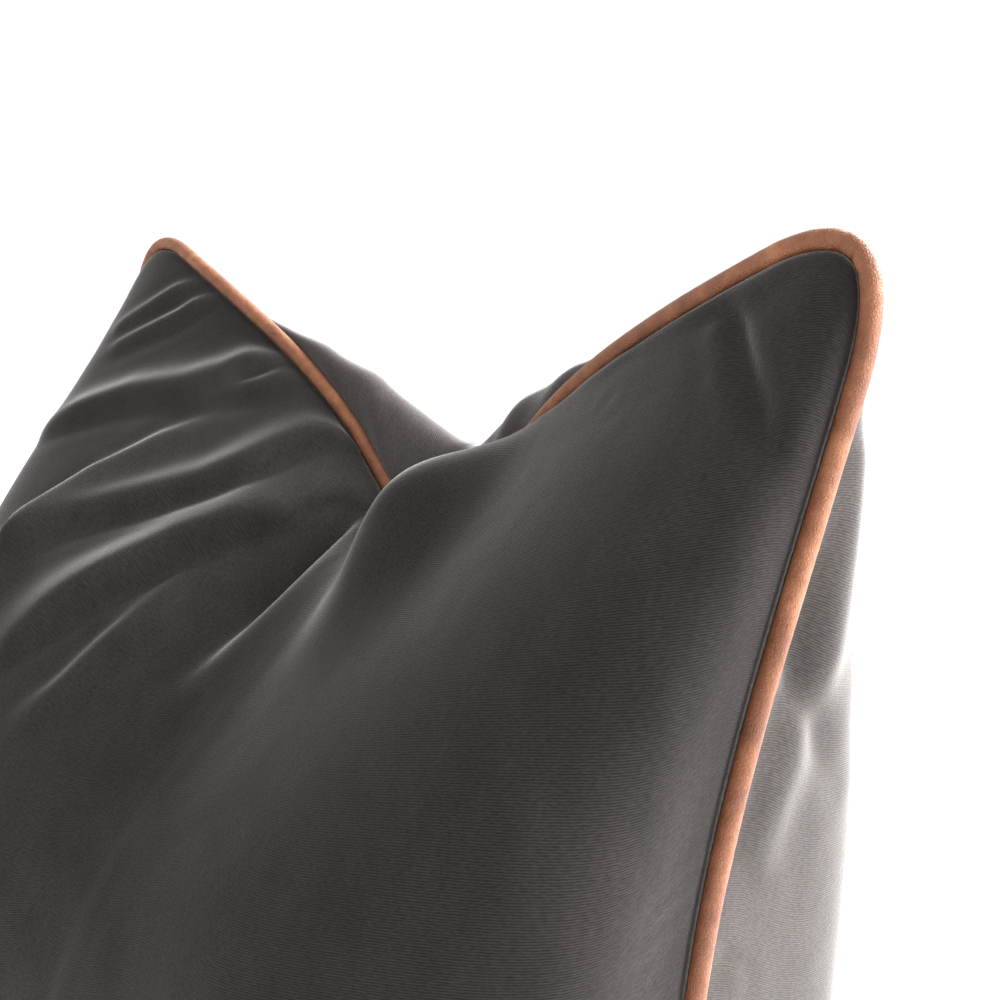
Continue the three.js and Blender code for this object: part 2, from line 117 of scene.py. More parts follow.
# Cloth
CLOTH_STEPS = 60
PRESSURE = 0.02 * MM
STIFFNESS = 0.1
HOLD = 0.004  # pull back to the sculpted shape
SHAKE = 0.05 * MM
SLACK = 0.008
SEAM_SLACK = 0.03
GATHER_WAVES = (23, 37, 61)
GATHER_REACH = 0.16
GATHER_RANGE = (-1.5, 3.0)  # sums of waves that give no spare cloth and the most

# Piping, zip and insert
PIPING_CELLS = 320
PIPING_SIDES = 24
CORD_SIDES = 18
CORD_PITCH = 9 * MM
BORE_SIDES = 16
LEATHER_LUMPS = (0.02, 5, 8, 60)  # size as a share of the radius, seed, fewest and most waves
LEATHER_WRINKLES = (0.012, 6, 150, 420)
CORNER_CREASES = [  # place along the seam from a corner, width, depth and side faced
    (0, 0.9 * MM, 0.8 * MM, 1.0),
    (-6 * MM, 1.3 * MM, 0.3 * MM, 0.6),
    (7 * MM, 1.2 * MM, 0.35 * MM, 0.7),
]
JOINT_DEPTH = 0.45 * MM  # groove where the ends of the leather meet
JOINT_WIDTH = 0.8 * MM
JOINT_AT = 1 / 8  # share of the way round the seam
TAPE = 0.6 * MM
TAPE_RINGS = 240
TAPE_BEVEL = 0.4  # share of the tape's thickness
TAPE_WAVE = 0.12 * MM
TAPE_WAVE_LENGTHS = (7 * MM, 23 * MM)
COIL_PITCH = 1.3 * MM
COIL_WIRE = 0.27 * MM
COIL_STEPS = 12  # points in one turn
WIRE_SIDES = 6
METAL_EDGE = 0.12 * MM
FLAT = math.radians(1)  # faces that differ less are joined
HARD = math.radians(25)  # edges that are rounded
CRISP = math.radians(40)  # edges that are shaded sharp
WELD = 0.01 * MM
WEAVE = 0.8 * MM
TAPE_THREAD = 0.5 * MM
CASING_THREAD = 0.6 * MM
PAINTED_LIGHT_TONE = {-1: 1.0, 1: 2.3}  # scale on the velvet's base colour: the back's colour is painted lighter, a painted highlight standing for the strong light from behind that falls on it
VELVET_SHEEN = {-1: 0.55, 1: 0.85}
CASING = 1 * MM
CASING_DEPTH = 5 * MM
FILL_DEPTH = 10 * MM
CASING_TRIM = 3
CLOSING_RINGS = 4
ZIP_ROOM = 16 * MM
FILL_ABOVE_CASING = 3 * MM
BLUR = 0.9  # share by which each round of blurring evens out a grid
FOLD_BLUR = 80  # rounds that take the folds out of a panel
PUSH_BLUR = 10
PUSH_REACH = 3
CLOSING_POWER = 0.7

# Studio
FOCAL = 1.379  # focal length as a share of the picture's width
CAMERA_TURN = 50.5
CAMERA_TILT = 10.3
CAMERA_FROM_EAR = Vector((0.211, -0.3065, -0.013))
FLOOR = 40
FLOOR_SIDES = 96
WORLD = 1.08
SOFTBOXES = [  # name, turn, tilt, distance, size and power
    ("back", 172, 36, 1.6, (1.8, 1.0), 95),
    ("right", 120, 20, 1.6, (0.8, 1.4), 42),
]

# Folds of the slack cloth. Each is a line of (across, up, size) points over the panel, where the
# panel runs from -1 to 1 both ways, its width on either side of the line, and its height.
FRONT_FOLDS = [
    ([(-0.36, 0.40, 0.1), (-0.322, 0.50, 0.8), (-0.295, 0.60, 1), (-0.275, 0.70, 1), (-0.245, 0.78, 0.9),
      (-0.215, 0.84, 0.4)], (0.07, 0.016), 12 * MM),
    ([(-0.23, 0.36, 0.1), (-0.20, 0.45, 0.9), (-0.20, 0.55, 0.9), (-0.215, 0.63, 0.5), (-0.24, 0.70, 0.1)],
     (0.018, 0.03), 5 * MM),
    ([(-0.56, 0.47, 0.1), (-0.521, 0.531, 0.8), (-0.479, 0.604, 1), (-0.438, 0.667, 1), (-0.365, 0.771, 1),
      (-0.333, 0.844, 1), (-0.285, 0.99, 0.7)], (0.055, 0.016), 8 * MM),
    ([(-0.48, 0.40, 0.1), (-0.51, 0.48, 0.8), (-0.545, 0.57, 1), (-0.545, 0.67, 1), (-0.515, 0.77, 0.8),
      (-0.47, 0.86, 0.2)], (0.018, 0.045), 6 * MM),
    ([(-0.78, 0.64, 0.2), (-0.719, 0.708, 0.8), (-0.656, 0.781, 1), (-0.583, 0.844, 1), (-0.531, 0.906, 1),
      (-0.50, 1.0, 0.8)], (0.045, 0.016), 7 * MM),
    ([(-0.55, 0.84, 0.6), (-0.50, 0.89, 1), (-0.458, 0.94, 1), (-0.469, 1.0, 1)], (0.02, 0.02), 4 * MM),
    ([(-0.86, 0.84, 0.6), (-0.82, 0.917, 1), (-0.79, 1.0, 1)], (0.018, 0.012), 3 * MM),
    ([(-0.81, 0.82, 0.6), (-0.74, 0.927, 1), (-0.73, 1.0, 1)], (0.018, 0.012), 3.5 * MM),
    ([(0.80, 0.99, 0.6), (0.844, 0.906, 1), (0.906, 0.823, 0.9), (0.95, 0.75, 0.2)], (0.018, 0.035), -5 * MM),
    ([(0.80, 0.95, 0.8), (0.835, 0.885, 1), (0.89, 0.81, 0.3)], (0.016, 0.016), 3 * MM),
    ([(0.79, 1.0, 0.8), (0.82, 0.988, 1), (0.86, 0.97, 0.4)], (0.012, 0.012), 3 * MM),
    ([(0.20, 0.30, 0.2), (0.45, 0.10, 1), (0.75, -0.05, 0.3)], (0.10, 0.12), 3 * MM),
    ([(-0.30, -0.10, 0.2), (-0.05, -0.35, 1), (0.30, -0.5, 0.3)], (0.10, 0.12), 4 * MM),
    ([(-0.95, 0.1, 1), (-0.8, 0.2, 0.8), (-0.6, 0.35, 0.2)], (0.04, 0.03), 4 * MM),
    ([(-0.96, -0.3, 1), (-0.82, -0.25, 0.8), (-0.6, -0.2, 0.2)], (0.05, 0.04), 4 * MM),
    ([(0.96, -0.2, 1), (0.84, -0.24, 0.8), (0.6, -0.3, 0.2)], (0.05, 0.04), 3 * MM),
    ([(-0.9, -0.9, 1), (-0.75, -0.75, 0.8), (-0.5, -0.6, 0.2)], (0.04, 0.05), 4 * MM),
    ([(0.9, -0.9, 1), (0.75, -0.72, 0.8), (0.5, -0.55, 0.2)], (0.05, 0.04), 4 * MM),
]
BACK_FOLDS = [
    ([(-0.15, 1.0, 1), (-0.3, 0.8, 0.8), (-0.55, 0.6, 0.3)], (0.04, 0.06), 2 * MM),
    ([(-0.3, 1.0, 1), (-0.45, 0.85, 0.8), (-0.7, 0.7, 0.3)], (0.04, 0.05), 1.5 * MM),
    ([(0.15, 1.0, 1), (0.32, 0.78, 0.8), (0.6, 0.55, 0.3)], (0.05, 0.04), 2 * MM),
    ([(0.35, 1.0, 1), (0.5, 0.84, 0.8), (0.75, 0.66, 0.3)], (0.05, 0.04), 1.5 * MM),
    ([(0.93, 0.75, 0.4), (0.9, 0.55, 1), (0.93, 0.3, 0.4)], (0.03, 0.04), 4 * MM),
    ([(0.99, 0.62, 0.8), (0.93, 0.5, 1), (0.8, 0.4, 0.3)], (0.03, 0.03), -4 * MM),
    ([(-0.95, 0.35, 1), (-0.82, 0.25, 0.8), (-0.6, 0.2, 0.2)], (0.05, 0.04), 4 * MM),
    ([(-0.95, -0.2, 1), (-0.8, -0.25, 0.8), (-0.55, -0.3, 0.2)], (0.04, 0.05), 4 * MM),
    ([(0.95, -0.3, 1), (0.8, -0.28, 0.8), (0.55, -0.2, 0.2)], (0.05, 0.04), 4 * MM),
    ([(-0.9, -0.9, 1), (-0.74, -0.72, 0.8), (-0.5, -0.55, 0.2)], (0.05, 0.04), 4 * MM),
    ([(0.9, -0.9, 1), (0.76, -0.74, 0.8), (0.5, -0.6, 0.2)], (0.04, 0.05), 4 * MM),
    ([(-0.2, 0.3, 0.2), (0.1, 0.1, 1), (0.4, 0.0, 0.3)], (0.12, 0.1), 1 * MM),
]


def smooth(low, high, v):
    t = np.clip((v - low) / (high - low), 0, 1)
    return t * t * (3 - 2 * t)


def unit(v):
    return v / np.maximum(np.linalg.norm(v, axis=-1, keepdims=True), 1e-12)


# ---------------------------------------------------------------- seam line
def chop(a, rounder=0):
    """How far the top edge is pressed down at a share a of the half width: slopes and cleft."""
    t = np.clip(1 - np.hypot(a, CHOP_ROUND + rounder), 0, 1)
    slopes = CHOP_DEPTH * CHOP_SLOPE * t**SLOPE_POWER
    return slopes, CHOP_DEPTH * (1 - CHOP_SLOPE) * t**CLEFT_POWER


def lean_at(z):
    return LEAN * (np.maximum(z, 0) / EAR_HEIGHT) ** LEAN_POWER


def sharp_seam(side, s):
    """Side 0 is the bottom, 1 the right, 2 the top, 3 the left; s runs anticlockwise."""
    s = np.asarray(s, float)
    if side == 0:
        return np.stack([s * BASE_HALF, 0 * s, 0 * s + BASE_Z], -1)
    if side == 2:
        z = EAR_HEIGHT - sum(chop(s))
        back = CHOP_BACK * (1 - abs(s)) ** 2
        return np.stack([-s * EAR_HALF, lean_at(z) + back, z], -1)
    sign = 1 if side == 1 else -1
    up = (1 + sign * s) / 2
    z = BASE_Z + (EAR_HEIGHT - BASE_Z) * up
    pull = SIDE_PULL * 4 * up * (1 - up) * (1 - SIDE_SKEW * (2 * up - 1))
    bow = SIDE_BOW * np.sin(np.pi * up) ** 2 * (2 * up - 1)
    half = BASE_HALF + (EAR_HALF - BASE_HALF) * up - pull
    return np.stack([sign * half, lean_at(z) - bow, z], -1)


def seam_side(side, count=801):
    """Dense points along one side, from the middle of a rounded corner to the next."""
    s = np.linspace(-1, 1, count)
    points = sharp_seam(side, s)
    for end in (-1, 1):
        past = end * s - (1 - CORNER)
        near = past > 0
        t = (past[near] / CORNER / 2)[:, None]
        start = sharp_seam(side, end * (1 - CORNER))
        tip = sharp_seam(side, end)
        far = sharp_seam((side + end) % 4, -end * (1 - CORNER))
        points[near] = (1 - t) ** 2 * start + 2 * t * (1 - t) * tip + t * t * far
    return points


def even(points, count):
    """count + 1 points spaced evenly along a line."""
    steps = np.linalg.norm(np.diff(points, axis=0), axis=1)
    along = np.concatenate([[0], np.cumsum(steps)])
    at = np.linspace(0, along[-1], count + 1)
    return np.stack([np.interp(at, along, points[:, k]) for k in range(3)], -1)


def seam_stations(cells):
    """Points round the seam, the way into the pillow, and the way to the front."""
    points = np.concatenate([even(seam_side(k), cells)[:-1] for k in range(4)])
    points[:, 1] += SEAM_Y
    tangent = unit(np.roll(points, -1, 0) - np.roll(points, 1, 0))
    inward = unit(np.cross(tangent, [0, 1, 0]))
    return points, inward, np.cross(tangent, inward)


def beside(stations, depth, width):
    points, inward, front = stations
    return points + inward * depth + front * width


# ---------------------------------------------------------------- panels
def zip_step(stations):
    """The back panel steps back along the bottom seam, where the zip lies."""
    points = stations[0]
    step = ZIP_WIDTH * (1 - smooth(ZIP_FADE[0] * BASE_HALF, ZIP_FADE[1] * BASE_HALF, abs(points[:, 0])))
    step[len(points) // 4 :] = 0
    return step[:, None]


def patch(edge, n, forward):
    """Fills a four-sided loop. Rows run up the panel and columns from left to right."""
    bottom, right = edge[: n + 1], edge[n : 2 * n + 1]
    top = edge[2 * n : 3 * n + 1][::-1]
    left = np.concatenate([edge[3 * n :], edge[:1]])[::-1]
    s = np.linspace(0, 1, n + 1)[None, :, None]
    t = np.linspace(0, 1, n + 1)[:, None, None]
    out = (1 - t) * bottom[None] + t * top[None] + (1 - s) * left[:, None] + s * right[:, None]
    out = out - (1 - s) * (1 - t) * bottom[0] - s * (1 - t) * bottom[-1]
    out = out - (1 - s) * t * top[0] - s * t * top[-1]
    a, t = top[:, 0] / EAR_HALF, t[..., 0]
    eased = chop(a, CHOP_SPREAD[forward] * (1 - t))
    for sharp, rounded, power in zip(chop(a), eased, CHOP_REACH[forward]):
        out[..., 2] += sharp * t - rounded * t**power
    return out


def even_grid(surface, count):
    """The same surface with count + 1 evenly spaced points along each row and column."""
    rows = np.stack([even(line, count) for line in surface])
    return np.stack([even(line, count) for line in rows.transpose(1, 0, 2)], 1)


def base_surface(cells, forward):
    """The filled panel before its folds. forward is -1 for the front and 1 for the back."""
    count = cells
    cells = FINER * cells
    stations = seam_stations(cells)
    step = zip_step(stations) if forward > 0 else 0
    rim = beside(stations, PANEL_EDGE, -forward * PANEL_SIDE - step)
    surface = patch(rim, cells, forward)
    a = np.linspace(-1, 1, cells + 1)[None, :]
    b = np.linspace(-1, 1, cells + 1)[:, None]
    power = np.where(b > 0, TOP_FULLNESS[forward], BASE_FULLNESS)
    dome = (1 - a * a) ** FULLNESS[forward] * (1 - b * b) ** power
    low, top = CREASE_PATH[forward]
    path = top + (low - top) * smooth(*CREASE_BEND, b)
    depth = CREASE[forward] * smooth(*CREASE_FADE[forward], b)
    crease = depth * np.exp(-(((a - path) / CREASE_HALF[forward]) ** 2))
    raised_by = forward * LOFT[forward] * dome * (1 - crease)
    surface[..., 1] += raised_by * (1 - SAG[forward] * b) * (1 - SKEW[forward] * a)
    away = ((a - SHOULDER_AT[0]) ** 2 + (b - SHOULDER_AT[1]) ** 2) / SHOULDER_HALF**2
    pushed = SHOULDER[forward] * np.exp(-away)
    surface[1:-1, 1:-1, 1] += forward * pushed[1:-1, 1:-1]
    raised = surface[..., 2] + pushed - SINK * ((1 - b) / 2) ** SINK_POWER
    surface[1:-1, 1:-1, 2] = np.maximum(raised, 0)[1:-1, 1:-1]
    return even_grid(surface, count)


def outward(surface, forward):
    """Unit normals that point out of the pillow."""
    across = np.gradient(surface, axis=1)
    up = np.gradient(surface, axis=0)
    return -forward * unit(np.cross(across, up))


def ridge(shape, line, widths):
    """How far each grid point is raised by a fold of height 1 along a line, whose sides differ."""
    n = shape[0] - 1
    a, b = np.meshgrid(np.linspace(-1, 1, n + 1), np.linspace(-1, 1, n + 1))
    nearest = np.full(shape[:2], np.inf)
    raised = np.zeros(shape[:2])
    line = np.asarray(line, float)
    for start, stop in zip(line[:-1], line[1:]):
        way = stop[:2] - start[:2]
        t = np.clip(((a - start[0]) * way[0] + (b - start[1]) * way[1]) / (way @ way), 0, 1)
        away_a, away_b = a - start[0] - t * way[0], b - start[1] - t * way[1]
        distance = np.hypot(away_a, away_b)
        width = np.where(way[0] * away_b > way[1] * away_a, *widths)
        here = (start[2] + (stop[2] - start[2]) * t) * np.exp(-((distance / width) ** 2))
        raised = np.where(distance < nearest, here, raised)
        nearest = np.minimum(distance, nearest)
    return raised


def rim_distance(cells):
    """0 along the rim of a grid, 1 in its middle."""
    edge = np.minimum(np.arange(cells + 1), cells - np.arange(cells + 1)) * 2 / cells
    return np.minimum(edge[:, None], edge[None, :])


def folded(surface, folds, forward):
    raised = sum(height * ridge(surface.shape, line, widths) for line, widths, height in folds)
    raised *= smooth(0, RIM_EASE, rim_distance(len(surface) - 1))
    return surface + outward(surface, forward) * raised[..., None]


# ---------------------------------------------------------------- cloth
def links(count):
    """Pairs of grid slices joined by the cloth's links, so split that no pair shares a point."""
    whole = slice(0, count)
    for start in (0, 1):
        odd = slice(start, count - 1, 2)
        next_odd = slice(start + 1, count, 2)
        yield (whole, odd), (whole, next_odd)
        yield (odd, whole), (next_odd, whole)
        yield (odd, slice(0, count - 1)), (next_odd, slice(1, count))
        yield (odd, slice(1, count)), (next_odd, slice(0, count - 1))


def bend(surface):
    """How far each inner point stands off the mean of its four neighbours."""
    out = np.zeros_like(surface)
    beside_it = surface[:-2, 1:-1] + surface[2:, 1:-1] + surface[1:-1, :-2] + surface[1:-1, 2:]
    out[1:-1, 1:-1] = beside_it / 4 - surface[1:-1, 1:-1]
    return out


def relaxed(surface, slack, forward, seed):
    """The panel after it settles as cloth: its links keep their lengths plus some slack, the fill
    presses outwards, bending smooths it, and the seam and the floor hold it."""
    rng = np.random.default_rng(seed)
    inner = (slice(1, -1), slice(1, -1))
    springs = []
    for one, two in links(len(surface)):
        rest = np.linalg.norm(surface[two] - surface[one], axis=-1)
        springs.append((one, two, rest * (1 + (slack[one] + slack[two]) / 2)))
    cloth = surface.copy()
    shake = rng.normal(0, SHAKE, surface.shape[:2])[..., None]
    cloth[inner] += (outward(surface, forward) * shake)[inner]
    for _ in range(CLOTH_STEPS):
        push = outward(cloth, forward) * PRESSURE - bend(bend(cloth)) * STIFFNESS
        cloth[inner] += push[inner] + (surface - cloth)[inner] * HOLD
        for one, two, rest in springs:
            gap = cloth[two] - cloth[one]
            length = np.linalg.norm(gap, axis=-1)
            move = gap * ((1 - rest / length) / 2)[..., None]
            cloth[one] += move
            cloth[two] -= move
        held = cloth[inner].copy()
        held[..., 2] = np.maximum(held[..., 2], 0)
        cloth = surface.copy()
        cloth[inner] = held
    return cloth


def slack_field(cells, seed):
    """Spare cloth at each grid point: more beside the seam, in uneven gathers."""
    rng = np.random.default_rng(seed)
    near = 1 - smooth(0.0, GATHER_REACH, rim_distance(cells))
    a = np.linspace(-1, 1, cells + 1)
    gathers = np.zeros((cells + 1, cells + 1))
    for waves in GATHER_WAVES:
        across, up = rng.uniform(0, 2 * np.pi, 2)
        gathers += np.sin(a * waves + across)[None, :] + np.sin(a * waves + up)[:, None]
    gathers = smooth(*GATHER_RANGE, gathers)
    return SLACK + SEAM_SLACK * near * gathers


# ---------------------------------------------------------------- meshes
def mesh_of(name, vertices, faces, coords=None):
    mesh = bpy.data.meshes.new(name)
    mesh.from_pydata(np.reshape(vertices, (-1, 3)).tolist(), [], np.reshape(faces, (-1, 4)).tolist())
    if coords is not None:
        corner = np.empty(len(mesh.loops), np.int32)
        mesh.loops.foreach_get("vertex_index", corner)
        layer = mesh.uv_layers.new(name="cloth")
        layer.data.foreach_set("uv", np.reshape(coords, (-1, 2))[corner].astype(np.float32).ravel())
    work = bmesh.new()
    work.from_mesh(mesh)
    bmesh.ops.recalc_face_normals(work, faces=work.faces)
    work.to_mesh(mesh)
    work.free()
    mesh.polygons.foreach_set("use_smooth", np.ones(len(mesh.polygons), bool))
    return mesh


def strip(first, second, closed):
    """Quads between two rows of vertex numbers."""
    if closed:
        first, second = np.append(first, first[0]), np.append(second, second[0])
    return np.stack([first[:-1], first[1:], second[1:], second[:-1]], -1)


def grid_faces(index):
    return np.concatenate([strip(a, b, False) for a, b in zip(index[:-1], index[1:])])


def border(grid):
    """The rim of a grid, in the order of the seam's stations."""
    return np.concatenate([grid[0, :-1], grid[:-1, -1], grid[-1, :0:-1], grid[:0:-1, 0]])


def shell(name, outer, rings, inner):
    """A closed form: an outer grid, rings from its rim to the rim of an inner grid, and that grid."""
    count = outer.shape[0] * outer.shape[1]
    index = np.arange(count).reshape(outer.shape[:2])
    loops = [border(index)]
    for k, ring in enumerate(rings):
        loops.append(count + k * len(ring) + np.arange(len(ring)))
    inner_index = index + count + sum(len(ring) for ring in rings)
    loops.append(border(inner_index))
    faces = [grid_faces(index), grid_faces(inner_index)[:, ::-1]]
    faces += [strip(a, b, True) for a, b in zip(loops[:-1], loops[1:])]
    vertices = np.concatenate([outer.reshape(-1, 3), *rings, inner.reshape(-1, 3)])
    a = (np.arange(count) % outer.shape[1]) * CELL
    b = (np.arange(count) // outer.shape[1]) * CELL
    sheet = np.stack([a, b], -1)
    around = [sheet[loops[0]]] * len(rings)
    return mesh_of(name, vertices, np.concatenate(faces), np.concatenate([sheet, *around, sheet]))


def tube(name, rings, closed):
    """A closed section of points carried from ring to ring; its ends are filled if it is open."""
    rows, cols = rings.shape[:2]
    index = np.arange(rows * cols).reshape(rows, cols)
    nexts = np.append(index, index[:1], 0) if closed else index
    faces = np.concatenate([strip(a, b, True) for a, b in zip(nexts[:-1], nexts[1:])])
    along = np.cumsum(np.linalg.norm(np.roll(rings, -1, 0) - rings, axis=-1).mean(1))
    round_it = np.arange(cols) / cols
    coords = np.stack(np.meshgrid(along, round_it, indexing="ij"), -1)
    mesh = mesh_of(name, rings, faces, coords)
    if not closed:
        work = bmesh.new()
        work.from_mesh(mesh)
        bmesh.ops.holes_fill(work, edges=work.edges)
        work.to_mesh(mesh)
        work.free()
    return mesh


def place(name, mesh, body, nodes, finish):
    made = bpy.data.objects.new(name, mesh)
    bpy.context.scene.collection.objects.link(made)
    mesh.materials.append(finish)
    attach(made, body)
    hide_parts(*nodes)
    return made


# ---------------------------------------------------------------- cover
def panel(forward, folds, seed):
    surface = folded(base_surface(CELLS, forward), folds, forward)
    return relaxed(surface, slack_field(CELLS, seed), forward, seed)


def panel_mesh(name, stations, cloth, forward):
    """Velvet with its edge turned in beside the piping's flange."""
    inner = cloth - outward(cloth, forward) * VELVET
    inner[..., 2] = np.maximum(inner[..., 2], VELVET)
    step = zip_step(stations) if forward > 0 else 0
    side = -forward * PANEL_SIDE - step
    near = side + forward * VELVET
    inner.reshape(-1, 3)[rim_of(inner)] = beside(stations, PANEL_EDGE + VELVET, side)
    depths = [(PANEL_EDGE, near), (SEAM_ALLOWANCE, near), (SEAM_ALLOWANCE, side)]
    return shell(name, cloth, [beside(stations, *each) for each in depths], inner)


def ripples(seed, along, round_it, low, high, count=14):
    """Smooth noise between -1 and 1 over a closed tube; along runs from 0 to 1 round the loop."""
    rng = np.random.default_rng(seed)
    out = np.zeros(np.broadcast(along, round_it).shape)
    for _ in range(count):
        waves, turns = rng.integers(low, high), rng.integers(0, 3)
        out += np.sin(2 * np.pi * (waves * along + rng.random()) + turns * round_it)
    return out / np.sqrt(count) / 1.5


def piping_rings(stations):
    """The leather's outside round the cord and its flange, as offsets at every station."""
    count = len(stations[0])
    open_angle = math.asin(FLANGE / PIPING_R)
    turn = np.linspace(open_angle, 2 * math.pi - open_angle, PIPING_SIDES)[None, :]
    along = (np.arange(count) / count)[:, None]
    uneven = 1
    for share, seed, fewest, most in (LEATHER_LUMPS, LEATHER_WRINKLES):
        uneven = uneven + share * ripples(seed, along, turn, fewest, most)
    radius = PIPING_R * uneven
    length = np.linalg.norm(np.diff(stations[0], axis=0), axis=1).mean() * count
    for corner in range(4):
        away = ((along - corner / 4 + 0.5) % 1 - 0.5) * length
        for offset, width, depth, facing in CORNER_CREASES:
            shade = np.maximum(np.cos(turn - facing), 0) ** 2 + np.maximum(np.cos(turn + facing), 0) ** 2
            radius -= depth * shade * np.exp(-(((away - offset) / width) ** 2))
    away = (along - JOINT_AT) * length
    radius -= JOINT_DEPTH * np.exp(-((away / JOINT_WIDTH) ** 2))
    ring = np.stack([radius * np.cos(turn), radius * np.sin(turn)], -1)
    edges = [(SEAM_ALLOWANCE, -FLANGE), (SEAM_ALLOWANCE, FLANGE)]
    flange = np.broadcast_to(np.array(edges), (count, 2, 2))
    return np.concatenate([ring, flange], 1)


def carried(stations, offsets):
    """Offsets (depth, width) at each station, as points."""
    points, inward, front = (part[:, None, :] for part in stations)
    return points + inward * offsets[..., :1] + front * offsets[..., 1:]


def piping_mesh(stations):
    skin = tube("piping_leather", carried(stations, piping_rings(stations)), True)
    turn = np.linspace(0, 2 * math.pi, BORE_SIDES + 1)[:-1]
    bore = PIPING_BORE * np.stack([np.cos(turn), np.sin(turn)], -1)
    lining = tube("bore", carried(stations, np.broadcast_to(bore, (len(stations[0]), *bore.shape))), True)
    lining.flip_normals()
    both = bmesh.new()
    both.from_mesh(skin)
    both.from_mesh(lining)
    both.to_mesh(skin)
    both.free()
    bpy.data.meshes.remove(lining)
    return skin


def cord_mesh(stations):
    """Cotton cord of three twisted strands."""
    count = len(stations[0])
    length = np.linalg.norm(np.diff(stations[0], axis=0), axis=1).mean() * count
    twists = round(length / CORD_PITCH)
    turn = np.linspace(0, 2 * math.pi, CORD_SIDES + 1)[None, :-1]
    phase = 2 * math.pi * twists * (np.arange(count) / count)[:, None]
    radius = CORD_R * (0.8 + 0.2 * np.abs(np.cos(1.5 * (turn - phase))))
    section = np.stack([radius * np.cos(turn), radius * np.sin(turn)], -1)
    return tube("piping_cord", carried(stations, section), True)


# ---------------------------------------------------------------- zip
def coil_mesh(name):
    """A nylon coil as long as its node, sewn turn by turn."""
    low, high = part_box(name)
    middle, half = (low + high) / 2, (high - low) / 2
    turns = round((high.x - low.x) / COIL_PITCH)
    t = np.linspace(0, 2 * math.pi * turns, turns * COIL_STEPS + 1)
    line = np.stack([
        np.linspace(low.x + COIL_WIRE, high.x - COIL_WIRE, len(t)),
        middle.y + (half.y - COIL_WIRE) * np.cos(t),
        middle.z + (half.z - COIL_WIRE) * np.sin(t),
    ], -1)
    return wire(name, line, COIL_WIRE, WIRE_SIDES)


def wire(name, line, radius, sides):
    ahead = unit(np.gradient(line, axis=0))
    across = unit(np.cross(ahead, [1.0, 0, 0]))
    up = np.cross(ahead, across)
    turn = np.linspace(0, 2 * math.pi, sides + 1)[:-1]
    ring = np.cos(turn)[:, None] * across[:, None] + np.sin(turn)[:, None] * up[:, None]
    rings = line[:, None] + radius * ring
    return tube(name, rings, False)


def tape_mesh(name):
    """A woven tape, folded up behind the coil: one leg lies flat and the other stands."""
    low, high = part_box(name)
    sign = 1 if name.endswith("back") else -1
    inner, outer = (low.y, high.y) if sign > 0 else (high.y, low.y)
    leg = sign * TAPE
    bevel = leg * TAPE_BEVEL
    section = [(inner, low.z), (outer - bevel, low.z), (outer, low.z + abs(bevel)), (outer, high.z),
               (outer - leg, high.z), (outer - leg, low.z + TAPE), (inner, low.z + TAPE)]
    section = np.array(section)
    along = np.linspace(low.x, high.x, TAPE_RINGS)
    rings = np.empty((TAPE_RINGS, len(section), 3))
    rings[..., 0] = along[:, None]
    rings[..., 1:] = section
    short, long = TAPE_WAVE_LENGTHS
    wave = TAPE_WAVE * np.sin(along / short) * np.sin(along / long)
    rings[:, 3:5, 2] += wave[:, None] - TAPE_WAVE
    return tube(name, rings, False)


def softened_copy(node):
    """The node's own shape with its hard edges rounded."""
    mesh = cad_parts[node].data.copy()
    mesh.materials.clear()
    work = bmesh.new()
    work.from_mesh(mesh)
    bmesh.ops.remove_doubles(work, verts=work.verts, dist=WELD)
    bmesh.ops.dissolve_limit(work, angle_limit=FLAT, verts=work.verts, edges=work.edges)
    sharp = [edge for edge in work.edges if edge.is_manifold and edge.calc_face_angle() > HARD]
    bmesh.ops.bevel(work, geom=sharp, offset=METAL_EDGE, segments=2, profile=0.5, affect="EDGES",
                    clamp_overlap=True)
    bmesh.ops.triangulate(work, faces=work.faces)
    work.to_mesh(mesh)
    work.free()
    mesh.polygons.foreach_set("use_smooth", np.ones(len(mesh.polygons), bool))
    mesh.set_sharp_from_angle(angle=CRISP)
    return mesh


# ---------------------------------------------------------------- insert
def blurred(field, rounds):
    """A grid of values averaged with its neighbours again and again; its rim is kept."""
    out = field.copy()
    for _ in range(rounds):
        out[1:-1, 1:-1] += BLUR * bend(out)[1:-1, 1:-1]
    return out


def lowest_near(field, reach):
    """Each value replaced by the lowest within reach grid points of it."""
    out = field
    for axis in (0, 1):
        out = np.min([np.roll(out, shift, axis) for shift in range(-reach, reach + 1)], axis=0)
    return out


def envelope(cloth, forward, depth, trim):
    """A smooth surface at least depth inside a panel and its folds, cut back by trim points."""
    grid = cloth[::2, ::2]
    soft = blurred(grid, FOLD_BLUR)
    inward = -outward(soft, forward)
    poke = -lowest_near(((grid - soft) * -inward).sum(-1), PUSH_REACH)
    push = blurred(np.maximum(poke, 0), PUSH_BLUR) + depth
    soft = soft + inward * push[..., None]
    soft[..., 2] = np.maximum(soft[..., 2], depth)
    return soft[trim:-trim, trim:-trim]


def rim_of(grid):
    return border(np.arange(grid[..., 0].size).reshape(grid.shape[:2]))


def rim_points(grid):
    return grid.reshape(-1, 3)[rim_of(grid)]


def insert_seam(front, back, lowest):
    """Where the two halves of a layer of the insert meet; along the bottom it stays over the zip."""
    seam = (rim_points(front) + rim_points(back)) / 2
    seam[:, 2] = np.maximum(seam[:, 2], lowest)
    return seam


def closing(rim, seam):
    """Rings on a rounded way from a surface's rim to a seam."""
    turns = np.linspace(0, math.pi / 2, CLOSING_RINGS + 1)[1:]
    return [rim + (seam - rim) * (1 - math.cos(turn)) ** CLOSING_POWER for turn in turns]


